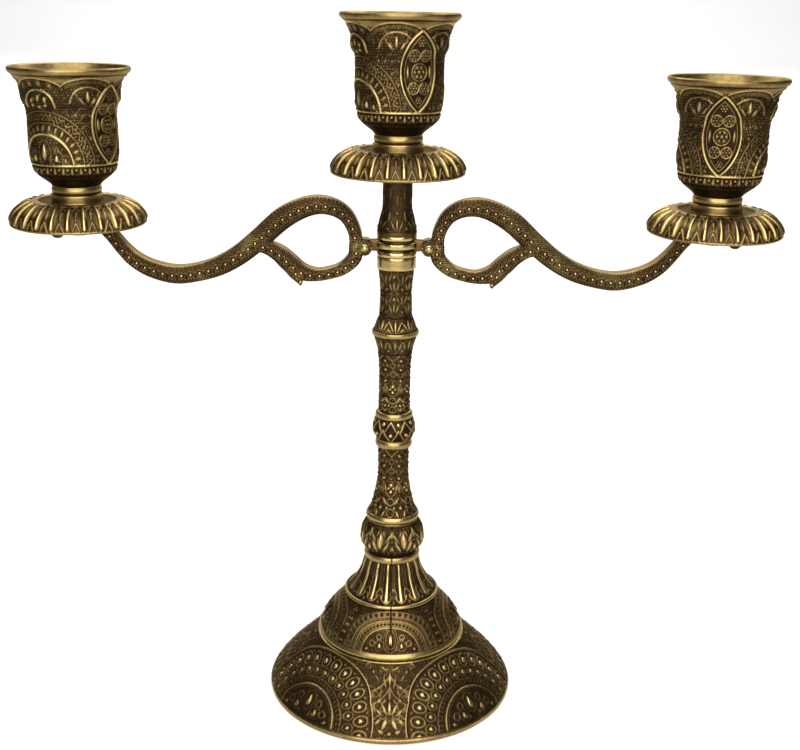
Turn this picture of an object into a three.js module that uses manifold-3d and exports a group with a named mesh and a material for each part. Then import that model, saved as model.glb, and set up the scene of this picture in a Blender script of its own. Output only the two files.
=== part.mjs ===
// Three-light tabletop candelabra: antiqued brass castings stacked on a tie rod.
// Millimetres, +Z up, origin at the centre of the base's bottom face, arms along X.
import * as THREE from 'three';
import { mergeVertices } from 'three/addons/utils/BufferGeometryUtils.js';
import Module from 'manifold-3d';

// ---- driving dimensions -------------------------------------------------------------
const ARM_REACH = 113;          // stem axis to side cup axis
const SIDE_DROP = 19.4;         // side lights sit this much lower than the centre light
const PAN_EDGE_Z = 201;         // widest line of the centre drip pan
const PAN_RADIUS = 23.9;
const PAN_BOSS_HEIGHT = 10.3;   // boss top above the pan's widest line
const PAN_BOSS_DEPTH = 1.7;     // boss underside above the pan's widest line
const CUP_HEIGHT = 42.3;
const CUP_RIM_RADIUS = 20.75;
const CUP_BODY_RADIUS = 15.2;
const SOCKET_RADIUS = 12.3;     // takes a 22 to 24 mm candle
const SOCKET_FLOOR = 9;
const BASE_RADIUS = 47;
const BASE_TOP = 22.2;          // flat seat of the lower dome
const ROD_RADIUS = 3;
const SCREW_RADIUS = 2.5;
const ARM_THICKNESS = 6;
const ARM_BEVEL = 0.7;
const HUB_BOTTOM = 171.6;
const HUB_TOP = 178.4;
const HUB_RADIUS = 7.1;
const PIVOT_X = 11.2;           // rivet that holds an arm on the hub's tongue
const PIVOT_Z = 175;
const RIVET_RADIUS = 1;
const TONGUE_THICKNESS = 2.2;
const TONGUE_HEIGHT = 4.6;
const LID_THICKNESS = 2.4;      // flat top of the lower dome
const BASE_WASHER = { radius: 11, thickness: 1.5 };
const BASE_NUT = { cornerRadius: 5.77, height: 5 };
const CUP_WASHER = { radius: 3.8, thickness: 0.8 };
const SCREW_HEAD = { radius: 3.6, height: 2.2 };
const THREAD_LENGTH = 5.5;      // how far the rod and the screws enter the cups' feet
const PAD_RADIUS = 5.2;         // eye at the arm's end, under the drip pan
const PAD_THICKNESS = 2.5;
const GAP = 0.3;                // clearance between neighbouring pieces
const OVERCUT = 10;             // how far a cutting shape runs past the piece it cuts

const STEM_SIDES = 20;
const CUP_SIDES = 24;
const BASE_SIDES = 36;
const BORE = ROD_RADIUS + GAP;
const CUP_FOOT_Z = PAN_EDGE_Z + PAN_BOSS_HEIGHT + GAP;
const PAD_TOP = PAN_EDGE_Z - SIDE_DROP + PAN_BOSS_DEPTH - GAP;
const TONGUE_END = PIVOT_X + 1.8;

const wasm = await Module();
wasm.setup();

const candelabra = new THREE.Group();

// ---- helpers ------------------------------------------------------------------------
function finish(color, roughness = 0.42, metalness = 0.95) {
  return new THREE.MeshStandardMaterial({ color, roughness, metalness });
}

const antiqueBrass = () => finish(0x7a6233);
const plainBrass = () => finish(0xa88c4a, 0.32);
const zincSteel = () => finish(0x8d8f92, 0.4);

function place(name, geometry, material, x = 0, z = 0) {
  const mesh = new THREE.Mesh(geometry, material);
  mesh.name = name;
  mesh.position.set(x, 0, z);
  candelabra.add(mesh);
  return mesh;
}

// A turned piece from its [radius, height] outline, walked bottom to top on the outside.
function turned(outline, sides) {
  const points = outline.map(([radius, height]) => new THREE.Vector2(radius, height));
  const geometry = new THREE.LatheGeometry(points, sides);
  geometry.rotateX(Math.PI / 2);
  return geometry;
}

// A turned piece with a plain bore from end to end: the outline closes on itself.
function bored(outline, sides, bore = BORE) {
  const bottom = outline[0][1];
  const top = outline[outline.length - 1][1];
  return turned([[bore, bottom], ...outline, [bore, top], [bore, bottom]], sides);
}

function toSolid(geometry) {
  const bare = geometry.clone();
  bare.deleteAttribute('normal');
  bare.deleteAttribute('uv');
  const merged = mergeVertices(bare, 1e-4);
  const vertProperties = new Float32Array(merged.attributes.position.array);
  const triVerts = new Uint32Array(merged.index.array);
  return new wasm.Manifold(new wasm.Mesh({ numProp: 3, vertProperties, triVerts }));
}

function toGeometry(solid) {
  const mesh = solid.getMesh();
  const geometry = new THREE.BufferGeometry();
  geometry.setAttribute('position', new THREE.BufferAttribute(mesh.vertProperties, 3));
  geometry.setIndex(new THREE.BufferAttribute(mesh.triVerts, 1));
  geometry.computeVertexNormals();
  return geometry;
}

function boxAt(sx, sy, sz, x, y, z) {
  return toSolid(new THREE.BoxGeometry(sx, sy, sz).translate(x, y, z));
}

// An upright cylinder from z = low to z = high.
function post(radius, low, high, x = 0, sides = STEM_SIDES) {
  const geometry = new THREE.CylinderGeometry(radius, radius, high - low, sides);
  geometry.rotateX(Math.PI / 2);
  return geometry.translate(x, 0, (low + high) / 2);
}

// A cylinder lying along Y, centred on the arm plane.
function crossPin(radius, length, x, z, sides = 16) {
  return new THREE.CylinderGeometry(radius, radius, length, sides).translate(x, 0, z);
}

// ---- base: two domes, the fluted bell, and the nut that pulls the stack together ------
function lowerDome() {
  const ceiling = BASE_TOP - LID_THICKNESS;
  return turned([
    [BORE, ceiling], [24.6, ceiling], [31.4, 14.4], [37.6, 8.4], [42.4, 3.6], [44, 0],
    [BASE_RADIUS, 0], [BASE_RADIUS, 1.4], [45, 4.8], [40.3, 10], [34, 16.2], [28.2, BASE_TOP],
    [BORE, BASE_TOP], [BORE, ceiling],
  ], BASE_SIDES);
}

function upperDome() {
  const foot = BASE_TOP + GAP;
  return turned([
    [24.4, foot], [27.2, foot], [27.9, foot + 0.9], [27.4, foot + 2.2], [26.3, 27.8], [24.6, 30.6],
    [22, 33.6], [19.2, 36.6], [17.6, 38.3], [BORE, 38.3], [BORE, 36.3], [16.6, 36.3], [19.8, 32.4],
    [22.6, 28.6], [24.4, foot],
  ], BASE_SIDES);
}

function flutedBell() {
  return bored([
    [17.2, 38.6], [17.9, 39.1], [17.5, 39.9], [15.6, 41.3], [14, 43.4], [12.6, 45.8], [11.4, 48.6],
    [10.6, 51.6], [9.9, 53.6], [10.4, 54.6], [10.2, 56.1], [9.4, 56.4],
  ], CUP_SIDES);
}

place('base_lower_dome', lowerDome(), antiqueBrass());
place('base_upper_dome', upperDome(), antiqueBrass());
place('fluted_bell', flutedBell(), antiqueBrass());

const WASHER_TOP = BASE_TOP - LID_THICKNESS - GAP;
const NUT_TOP = WASHER_TOP - BASE_WASHER.thickness - GAP;
const NUT_BOTTOM = NUT_TOP - BASE_NUT.height;
const ROD_BOTTOM = NUT_BOTTOM - 2;

function baseWasher() {
  const { radius } = BASE_WASHER;
  return bored([[radius, NUT_TOP + GAP], [radius, WASHER_TOP]], STEM_SIDES);
}

function baseNut() {
  const hexagon = toSolid(post(BASE_NUT.cornerRadius, NUT_BOTTOM, NUT_TOP, 0, 6));
  const thread = toSolid(post(BORE, NUT_BOTTOM - OVERCUT, NUT_TOP + OVERCUT));
  return toGeometry(hexagon.subtract(thread));
}

place('base_washer', baseWasher(), zincSteel());
place('base_nut', baseNut(), zincSteel());
place('tie_rod', post(ROD_RADIUS, ROD_BOTTOM, CUP_FOOT_Z + THREAD_LENGTH, 0, 16), zincSteel());

// ---- stem: seven turned castings from the bell up to the hub --------------------------
const STEM_CASTINGS = {
  stem_bulb: [
    [9.8, 56.7], [10.8, 58], [11.8, 60.2], [12.05, 62.4], [11.7, 65], [10.9, 67.3], [9.6, 69.1],
    [9.3, 69.9],
  ],
  stem_vase: [
    [9.6, 70.2], [9.9, 71.1], [9.5, 72.1], [8.3, 74.4], [7.5, 77.2], [6.6, 81.4], [5.9, 85.4],
    [5.7, 90], [5.75, 98.6],
  ],
  stem_knop: [
    [6.2, 98.9], [6.6, 100.4], [6.3, 101.6], [7, 102.9], [7.7, 104.8], [7.8, 106.2], [7.6, 107.8],
    [6.9, 109.8], [6.3, 111.4], [5.9, 112.6],
  ],
  stem_mid_shaft: [[5.8, 112.9], [5.7, 118], [5.75, 128], [5.95, 132.6], [6.3, 135.4]],
  stem_collar: [
    [6.4, 135.7], [6.9, 138.8], [7.6, 140.9], [8.3, 142.5], [8.3, 143.5], [7.6, 144.8], [6.8, 146.8],
    [6.2, 149],
  ],
  stem_upper_shaft: [[6.1, 149.3], [5.8, 153.4], [5.8, 159.6], [6.1, 163.4], [6.5, 166.3]],
  stem_ferrule: [[6.6, 166.6], [7.1, 167.8], [7.1, HUB_BOTTOM - GAP]],
};

for (const [name, outline] of Object.entries(STEM_CASTINGS)) {
  const material = name === 'stem_ferrule' ? plainBrass() : antiqueBrass();
  place(name, bored(outline, STEM_SIDES), material);
}

// The plain length above the hub carries the centre drip pan on its shouldered top.
function stemTop() {
  return bored([
    [6.9, HUB_TOP + GAP], [7.1, 181.4], [6.4, 184.2], [5.5, 187.6], [5.3, 192],
    [5.3, PAN_EDGE_Z + PAN_BOSS_DEPTH - GAP],
  ], STEM_SIDES);
}

place('stem_top', stemTop(), antiqueBrass());

// ---- hub: three rings with a tongue each side for the arms ----------------------------
function hub() {
  const ringHeight = (HUB_TOP - HUB_BOTTOM) / 3;
  const outline = [];
  for (let ring = 0; ring < 3; ring += 1) {
    const low = HUB_BOTTOM + ring * ringHeight;
    outline.push([HUB_RADIUS - 0.5, low]);
    outline.push([HUB_RADIUS, low + 0.25 * ringHeight]);
    outline.push([HUB_RADIUS, low + 0.75 * ringHeight]);
  }
  outline.push([HUB_RADIUS - 0.5, HUB_TOP]);
  let solid = toSolid(bored(outline, STEM_SIDES));
  const root = HUB_RADIUS - 1.6;
  const length = TONGUE_END - root;
  for (const side of [-1, 1]) {
    const middle = side * (root + length / 2);
    const tongue = boxAt(length, TONGUE_THICKNESS, TONGUE_HEIGHT, middle, 0, PIVOT_Z);
    const hole = toSolid(crossPin(RIVET_RADIUS + GAP, OVERCUT, side * PIVOT_X, PIVOT_Z));
    solid = solid.add(tongue).subtract(hole);
  }
  return toGeometry(solid);
}

place('arm_hub', hub(), plainBrass());

// ---- arms -----------------------------------------------------------------------------
// A flat cast bar: [x, z, half height] stations along its run, extruded through the arm's
// thickness with its long edges bevelled.
function castBar(stations, samples) {
  const line = new THREE.CatmullRomCurve3(stations.map(([x, z]) => new THREE.Vector3(x, z, 0)));
  const girth = new THREE.CatmullRomCurve3(stations.map(([, , half], i) => new THREE.Vector3(i, half, 0)));
  const upper = [];
  const lower = [];
  for (let i = 0; i <= samples; i += 1) {
    const t = i / samples;
    const at = line.getPoint(t);
    const along = line.getTangent(t);
    const half = girth.getPoint(t).y - ARM_BEVEL;
    upper.push(new THREE.Vector2(at.x - along.y * half, at.y + along.x * half));
    lower.push(new THREE.Vector2(at.x + along.y * half, at.y - along.x * half));
  }
  const geometry = new THREE.ExtrudeGeometry(new THREE.Shape([...upper, ...lower.reverse()]), {
    depth: ARM_THICKNESS - 2 * ARM_BEVEL,
    bevelThickness: ARM_BEVEL,
    bevelSize: ARM_BEVEL,
    bevelSegments: 1,
  });
  geometry.rotateX(Math.PI / 2);
  return toSolid(geometry.translate(0, ARM_THICKNESS / 2 - ARM_BEVEL, 0));
}

// Up from the hub lug, over the scroll, down the long S and up under the drip pan.
const MAIN_BAR = [
  [14.4, 174.6, 2.5], [15.1, 180, 2.5], [18, 185.4, 2.7], [22.6, 188.3, 2.9], [28.3, 189.1, 3.1],
  [34.4, 187.5, 3.4], [41.2, 183.6, 3.7], [49.2, 176.4, 3.5], [56.1, 170.8, 3.3], [63.4, 166.6, 3.1],
  [71.3, 164.1, 2.9], [79.2, 163.2, 2.9], [87.3, 165, 2.9], [93.2, 168.1, 2.8], [97.4, 172.1, 2.7],
  [101.2, 176.8, 2.6], [105, 180.3, 2], [108.6, 181.7, 1.2], [ARM_REACH, 181.75, 1.1],
  [117.4, 181.7, 1.1], [120.4, 180, 1.2],
];
// Down from the hub lug, under the scroll, to the pointed leaf tip.
const LOWER_BAR = [
  [14.4, 175.6, 2.4], [15, 170.9, 2.4], [18.9, 167.1, 2.3], [25.2, 164.6, 2.4], [30.6, 162.6, 2],
  [34.3, 159.9, 1],
];
// The leaf that leaves the main bar and closes the scroll.
const LEAF_BAR = [
  [48, 175.6, 2.8], [42.6, 172.2, 2.1], [38.2, 169, 2.5], [35.6, 164.8, 2.7], [34.3, 160.1, 1],
];
const LUG = [[8.6, 174.5, 3.1], [11.5, 174.6, 3.1], [15.5, 175, 3]];
const TIP_BALL = { x: 120.9, z: 178, radius: 2.4 };

function arm() {
  let solid = castBar(MAIN_BAR, 40);
  solid = solid.add(castBar(LOWER_BAR, 10));
  solid = solid.add(castBar(LEAF_BAR, 8));
  solid = solid.add(castBar(LUG, 2));
  const ball = new THREE.SphereGeometry(TIP_BALL.radius, 12, 8);
  solid = solid.add(toSolid(ball.translate(TIP_BALL.x, 0, TIP_BALL.z)));
  solid = solid.add(toSolid(post(PAD_RADIUS, PAD_TOP - PAD_THICKNESS, PAD_TOP, ARM_REACH)));
  const screwHole = post(SCREW_RADIUS + GAP, PAD_TOP - OVERCUT, PAD_TOP + OVERCUT, ARM_REACH, 16);
  solid = solid.subtract(toSolid(screwHole));
  const slotEnd = TONGUE_END + GAP;
  const slotWidth = TONGUE_THICKNESS + 2 * GAP;
  solid = solid.subtract(boxAt(slotEnd, slotWidth, 3 * OVERCUT, slotEnd / 2, 0, PIVOT_Z));
  const hubSeat = post(HUB_RADIUS + GAP, HUB_BOTTOM - OVERCUT, HUB_TOP + OVERCUT, 0, 48);
  solid = solid.subtract(toSolid(hubSeat));
  return solid.subtract(toSolid(crossPin(RIVET_RADIUS + GAP, OVERCUT, PIVOT_X, PIVOT_Z)));
}

// A shank through lug and tongue with a domed head each side.
function rivet() {
  const half = ARM_THICKNESS / 2;
  return turned([
    [0, -half - 1.4], [1.2, -half - 1.2], [2, -half - GAP], [RIVET_RADIUS, -half - GAP],
    [RIVET_RADIUS, half + GAP], [2, half + GAP], [1.2, half + 1.2], [0, half + 1.4],
  ], 16).rotateX(Math.PI / 2);
}

const armSolid = arm();
const SIDES = { left: -1, right: 1 };
for (const [side, sign] of Object.entries(SIDES)) {
  const solid = sign > 0 ? armSolid : armSolid.mirror([1, 0, 0]);
  place(`arm_${side}`, toGeometry(solid), antiqueBrass());
  place(`arm_rivet_${side}`, rivet(), plainBrass(), sign * PIVOT_X, PIVOT_Z);
}

// ---- the three lights: drip pan, candle cup, and for the sides a screw and a washer ---
function dripPan(boreRadius) {
  return turned([
    [boreRadius, PAN_BOSS_DEPTH], [8.4, PAN_BOSS_DEPTH], [9, 5], [15.4, 5.8], [19.6, 3.8],
    [22.2, -1.3], [23.4, -1.3], [PAN_RADIUS, -0.5], [PAN_RADIUS, 0.7], [23.2, 2.7],
    [21.4, 5.2], [18.2, 7.3], [14.6, 8.3], [12.4, 7.6], [9.2, 6.8],
    [8.8, PAN_BOSS_HEIGHT], [boreRadius, PAN_BOSS_HEIGHT], [boreRadius, PAN_BOSS_DEPTH],
  ], CUP_SIDES);
}

function candleCup(boreRadius) {
  const lip = CUP_HEIGHT;
  const threadEnd = THREAD_LENGTH + 2 * GAP;
  return turned([
    [0, threadEnd], [boreRadius, threadEnd], [boreRadius, 0], [8.4, 0], [8.6, 1.6], [8.3, 2.4], [9.3, 3.6],
    [12, 5.7], [13.9, 7.7], [14.8, 11.6], [CUP_BODY_RADIUS, 14], [CUP_BODY_RADIUS + 0.1, 27.2],
    [15.8, 29.4], [16.6, 31.2], [17, 34.8], [17.6, 37.2], [18.8, 39.3], [20.4, lip - 1.2],
    [CUP_RIM_RADIUS, lip - 0.4], [20.2, lip], [19.5, lip - 0.3], [17.8, lip - 2.8], [15.4, lip - 5.6],
    [13.2, lip - 7.6], [SOCKET_RADIUS, lip - 9], [SOCKET_RADIUS, SOCKET_FLOOR], [0, SOCKET_FLOOR],
  ], CUP_SIDES);
}

const LIGHTS = {
  left: { x: -ARM_REACH, drop: SIDE_DROP, bore: SCREW_RADIUS + GAP },
  centre: { x: 0, drop: 0, bore: BORE },
  right: { x: ARM_REACH, drop: SIDE_DROP, bore: SCREW_RADIUS + GAP },
};
for (const [name, light] of Object.entries(LIGHTS)) {
  place(`drip_pan_${name}`, dripPan(light.bore), antiqueBrass(), light.x, PAN_EDGE_Z - light.drop);
  place(`candle_cup_${name}`, candleCup(light.bore), antiqueBrass(), light.x, CUP_FOOT_Z - light.drop);
}

// Below the arm's pad come the lock washer and then the screw's pan head.
const LOCK_TOP = PAD_TOP - PAD_THICKNESS - GAP;
const LOCK_BOTTOM = LOCK_TOP - CUP_WASHER.thickness;

function cupWasher() {
  const { radius } = CUP_WASHER;
  return bored([[radius, LOCK_BOTTOM], [radius, LOCK_TOP]], STEM_SIDES, SCREW_RADIUS + GAP);
}

function cupScrew() {
  const { radius, height } = SCREW_HEAD;
  const headTop = LOCK_BOTTOM - GAP;
  const headBottom = headTop - height;
  const tip = CUP_FOOT_Z - SIDE_DROP + THREAD_LENGTH;
  return turned([
    [0, headBottom], [radius - 1, headBottom], [radius, headBottom + 0.9], [radius, headTop],
    [SCREW_RADIUS, headTop], [SCREW_RADIUS, tip], [0, tip],
  ], 16);
}

for (const [side, sign] of Object.entries(SIDES)) {
  place(`cup_washer_${side}`, cupWasher(), zincSteel(), sign * ARM_REACH);
  place(`cup_screw_${side}`, cupScrew(), zincSteel(), sign * ARM_REACH);
}

export default candelabra;
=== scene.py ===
import math

import bmesh
import bpy
import numpy as np
from mathutils import Matrix, Vector


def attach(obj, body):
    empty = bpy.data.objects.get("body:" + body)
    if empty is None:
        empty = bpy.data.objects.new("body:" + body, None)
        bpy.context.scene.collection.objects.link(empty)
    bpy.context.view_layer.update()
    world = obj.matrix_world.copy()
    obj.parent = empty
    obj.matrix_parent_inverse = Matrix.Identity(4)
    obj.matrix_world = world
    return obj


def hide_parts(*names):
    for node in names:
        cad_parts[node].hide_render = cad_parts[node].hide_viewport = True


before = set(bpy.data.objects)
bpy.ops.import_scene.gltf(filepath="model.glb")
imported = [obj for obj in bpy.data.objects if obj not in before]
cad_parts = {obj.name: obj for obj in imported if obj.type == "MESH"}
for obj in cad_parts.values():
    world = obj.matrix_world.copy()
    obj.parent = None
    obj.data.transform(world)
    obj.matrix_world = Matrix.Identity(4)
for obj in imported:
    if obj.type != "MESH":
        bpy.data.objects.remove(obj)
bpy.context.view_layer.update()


# --- Lower dome of the foot ---
# The broad foot is a thin sand-cast brass shell, open underneath, that the whole stand
# rests on. Its slope is cast with four half-round medallions and palmettes between them;
# the casting is darkened chemically and then rubbed, so only the high points shine.

MM = 0.001
SOFT_BEND = math.radians(42)
DOUBLINGS = 4
DEEPEST = 0.27
TALLEST = 0.62
HIDDEN_RUB = 0.12


def smooth_outline(points, spacing):
    """Points along an outline no further apart than the spacing; soft bends are rounded."""
    corners = np.array(points, float)
    steps = np.diff(corners, axis=0)
    lengths = np.hypot(steps[:, 0], steps[:, 1])
    heading = np.unwrap(np.arctan2(steps[:, 1], steps[:, 0]))
    run = [corners[0]]
    for i in range(len(steps)):
        leave = steps[i]
        arrive = steps[i]
        if i > 0 and abs(heading[i] - heading[i - 1]) < SOFT_BEND:
            across = corners[i + 1] - corners[i - 1]
            leave = across / np.hypot(*across) * lengths[i]
        if i + 1 < len(steps) and abs(heading[i + 1] - heading[i]) < SOFT_BEND:
            across = corners[i + 2] - corners[i]
            arrive = across / np.hypot(*across) * lengths[i]
        count = max(1, math.ceil(lengths[i] / spacing))
        for k in range(1, count + 1):
            t = k / count
            run.append(
                (2 * t**3 - 3 * t**2 + 1) * corners[i]
                + (t**3 - 2 * t**2 + t) * leave
                + (3 * t**2 - 2 * t**3) * corners[i + 1]
                + (t**3 - t**2) * arrive
            )
    return np.array(run)


def add_mesh(name, bm):
    """A mesh object from a bmesh, smooth shaded and added to the scene."""
    mesh = bpy.data.meshes.new(name)
    bm.to_mesh(mesh)
    bm.free()
    mesh.polygons.foreach_set("use_smooth", [True] * len(mesh.polygons))
    piece = bpy.data.objects.new(name, mesh)
    bpy.context.scene.collection.objects.link(piece)
    return piece


def keep_relief(mesh, values):
    """Stores how far each point stands out of the hollows, 0 to 1, for the rubbed finish."""
    layer = mesh.attributes.new("relief", "FLOAT", "POINT")
    layer.data.foreach_set("value", np.clip(values, 0, 1).astype(np.float32))


def rubbed_share(raised):
    """How far relief of that height, in mm, has been rubbed bright, from 0 to 1."""
    return (raised + DEEPEST) / TALLEST


def turned_casting(name, hidden, shown, sides, spacing, relief, tint=None):
    """Spins a closed outline into a shell, then raises the cast relief on its shown side.

    A sixteenth of the turn is spun, and doubled four times; sides is a multiple of 16.

    hidden and shown are (radius, height) in mm; shown runs up the outside. relief gives the
    height in mm of each point from its angle, radius, distance along the outline and height.
    tint gives the rubbed share where it isn't just that height.
    """
    fine = smooth_outline(shown, spacing)
    along = np.concatenate([[0], np.cumsum(np.hypot(*np.diff(fine, axis=0).T))])
    slope = np.gradient(fine, axis=0)
    slope /= np.maximum(np.hypot(slope[:, 0], slope[:, 1]), 1e-9)[:, None]
    bm = bmesh.new()
    place = bm.verts.layers.float.new("place")
    loop = []
    for i, (radius, height) in enumerate(fine):
        point = bm.verts.new((radius * MM, 0, height * MM))
        point[place] = i
        loop.append(point)
    for radius, height in hidden:
        point = bm.verts.new((radius * MM, 0, height * MM))
        point[place] = -1
        loop.append(point)
    edges = [bm.edges.new((loop[i - 1], loop[i])) for i in range(len(loop))]
    sector = math.tau / 2**DOUBLINGS
    bmesh.ops.spin(
        bm,
        geom=loop + edges,
        cent=(0, 0, 0),
        axis=(0, 0, 1),
        angle=sector,
        steps=sides // 2**DOUBLINGS,
    )
    for k in range(DOUBLINGS):
        copied = bmesh.ops.duplicate(bm, geom=bm.verts[:] + bm.edges[:] + bm.faces[:])["geom"]
        bmesh.ops.rotate(
            bm,
            cent=(0, 0, 0),
            matrix=Matrix.Rotation(sector * 2**k, 3, "Z"),
            verts=[part for part in copied if isinstance(part, bmesh.types.BMVert)],
        )
    bmesh.ops.remove_doubles(bm, verts=bm.verts, dist=1e-7)
    bmesh.ops.recalc_face_normals(bm, faces=bm.faces)
    piece = add_mesh(name, bm)
    mesh = piece.data
    index = np.zeros(len(mesh.vertices), np.float32)
    mesh.attributes["place"].data.foreach_get("value", index)
    mesh.attributes.remove(mesh.attributes["place"])
    index = np.round(index).astype(int)
    co = np.zeros(len(mesh.vertices) * 3)
    mesh.vertices.foreach_get("co", co)
    co = co.reshape(-1, 3)
    angle = np.arctan2(co[:, 0], -co[:, 1])
    outside = index >= 0
    safe = np.maximum(index, 0)
    radius = fine[safe, 0]
    raised = relief(angle, radius, along[safe], fine[safe, 1])
    raised = np.where(outside, raised, 0)
    rubbed = rubbed_share(raised) if tint is None else tint(angle, radius, along[safe], raised)
    outward = radius + slope[safe, 1] * raised
    upward = fine[safe, 1] - slope[safe, 0] * raised
    co[outside, 0] = (np.sin(angle) * outward * MM)[outside]
    co[outside, 1] = (-np.cos(angle) * outward * MM)[outside]
    co[outside, 2] = (upward * MM)[outside]
    mesh.vertices.foreach_set("co", co.ravel())
    keep_relief(mesh, np.where(outside, rubbed, HIDDEN_RUB))
    mesh.update()
    return piece


def fold(value, pitch, middle=0.0):
    """The distance from the nearest of the repeats, a pitch apart, with one at the middle."""
    return (value - middle + pitch / 2) % pitch - pitch / 2


def ridge(distance, half, height):
    """A half-round ridge or dome of that half width around a line or a point."""
    return height * np.sqrt(np.clip(1 - (distance / half) ** 2, 0, 1))


def spot(across, up, radius, height):
    """A round bead, from the distances to its middle each way."""
    return ridge(np.hypot(across, up), radius, height)


def hoop(across, up, radius, half, height):
    """A raised wire round a point, from the distances to the point each way."""
    return ridge(np.abs(np.hypot(across, up) - radius), half, height)


def bead(u, v, at_u, at_v, radius, height):
    """A round bead."""
    return spot(u - at_u, v - at_v, radius, height)


def ring(u, v, at_u, at_v, radius, half, height):
    """A raised wire ring."""
    return hoop(u - at_u, v - at_v, radius, half, height)


def stroke(u, v, start, end, half, height):
    """A straight raised wire between two points."""
    run_u = end[0] - start[0]
    run_v = end[1] - start[1]
    share = ((u - start[0]) * run_u + (v - start[1]) * run_v) / (run_u**2 + run_v**2)
    share = np.clip(share, 0, 1)
    return spot(u - start[0] - share * run_u, v - start[1] - share * run_v, half, height)


def leaning(u, v, at_u, at_v, length, lean):
    """Where a point lies on a leaning shape: along it, from -1 to 1, and how far across."""
    c = math.cos(math.radians(lean))
    s = math.sin(math.radians(lean))
    along = np.clip(((u - at_u) * s + (v - at_v) * c) / (length / 2), -1, 1)
    return along, (u - at_u) * c - (v - at_v) * s


def leaf(u, v, at_u, at_v, length, half, lean, height):
    """A pointed leaf, leaning from upright by that many degrees towards +u."""
    a, across = leaning(u, v, at_u, at_v, length, lean)
    width = half * (1 - a * a) + 1e-6
    return ridge(across / width, 1, height) * np.sqrt(1 - a * a)


def drop(u, v, at_u, at_v, length, half, lean, height):
    """A teardrop with its round end down, leaning by that many degrees towards +u."""
    a, across = leaning(u, v, at_u, at_v, length, lean)
    width = half * np.sqrt(1 + a) * (1 - a) * 0.92 + 1e-6
    return ridge(across / width, 1, height) * np.sqrt(np.clip(1 - a * a, 0, 1))


def grains(around, v, count, size, height, seed=0.0):
    """Granulation: staggered rows of small beads of uneven height, count of them a turn."""
    row = np.floor(v / size)
    shifted = around * count / math.tau + 0.5 * (row % 2)
    column = np.floor(shifted) % count
    jitter = np.abs(np.sin(column * 12.9898 + row * 78.233 + seed) * 43758.5453) % 1
    du = (shifted - np.floor(shifted) - 0.5) * 2
    dv = (v / size - row - 0.5) * 2
    return spot(du, dv, 0.95, height) * (0.35 + 0.65 * jitter)


def most(*layers):
    """The highest of several layers of relief at each point."""
    return np.maximum.reduce(np.broadcast_arrays(*layers))


def motif(u, v, shapes):
    """The highest of a list of small shapes, each given as its kind and its numbers."""
    return most(*[shape(u, v, *numbers) for shape, *numbers in shapes])


def within(inside, layer, outside=0.0):
    """A layer where the test holds, and another value elsewhere."""
    return np.where(inside, layer, outside)


LOWER_OUTER = [(47, 0), (47, 1.4), (45, 4.8), (40.3, 10), (34, 16.2), (28.2, 22.2)]
LOWER_HIDDEN = [(24.6, 22.2), (24.6, 19.8), (31.4, 14.4), (37.6, 8.4), (42.4, 3.6), (44, 0)]
MEDALLION = 26.5


def half_medallion(u, v, rise):
    """The half-round medallion of the lower dome: u across from its axis, v up from its base."""
    far = np.hypot(u, v)
    turn = np.degrees(np.arctan2(v, u))
    pitch = 180 / 13
    at = np.radians(fold(turn, pitch, 0))
    off = np.radians(fold(turn, pitch, pitch / 2))
    eyes = most(
        spot(at * 22.3, (far - 22.3) * 0.85, 0.95, 0.62),
        hoop(at * 22.3, (far - 22.3) * 0.8, 1.95, 0.42, 0.36),
        spot(off * 18.0, (far - 18.0) * 0.9, 0.85, 0.55),
        hoop(off * 18.0, (far - 18.0) * 0.9, 1.6, 0.38, 0.3),
        spot(off * 24.9, far - 24.7, 0.62, 0.36),
    )
    small = np.radians(fold(turn, pitch / 2, 0))
    teeth = within(
        np.abs(far - 14.6) < 1.0,
        0.26 - spot(small * 14.6 * 1.2, far - 14.3, 0.72, 0.5),
    )
    heart = most(
        motif(np.abs(u), v, [
            (drop, 0, 7.0, 5.2, 0.95, 0, 0.62), (drop, 4.3, 3.4, 2.9, 0.95, 10, 0.55),
            (ring, 4.5, 6.9, 1.1, 0.34, 0.34), (ring, 7.4, 3.9, 1.2, 0.36, 0.34),
            (ring, 4.3, 3.6, 2.0, 0.32, 0.26), (bead, 9.3, 1.5, 0.75, 0.5),
            (bead, 2.3, 2.1, 0.6, 0.4), (bead, 2.2, 9.4, 0.45, 0.35),
        ]),
        hoop(u * 1.7, v - 6.9, 3.6, 0.36, 0.3),
    )
    return most(
        ridge(far - MEDALLION, 0.42, 0.46),
        within((far < MEDALLION - 0.4) & (far > 13), eyes),
        teeth,
        ridge(far - 12.4, 0.42, 0.46),
        ridge(far - 11.4, 0.26, 0.28),
        within(far < 11, heart),
        rise * 0.62,
    )


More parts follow.
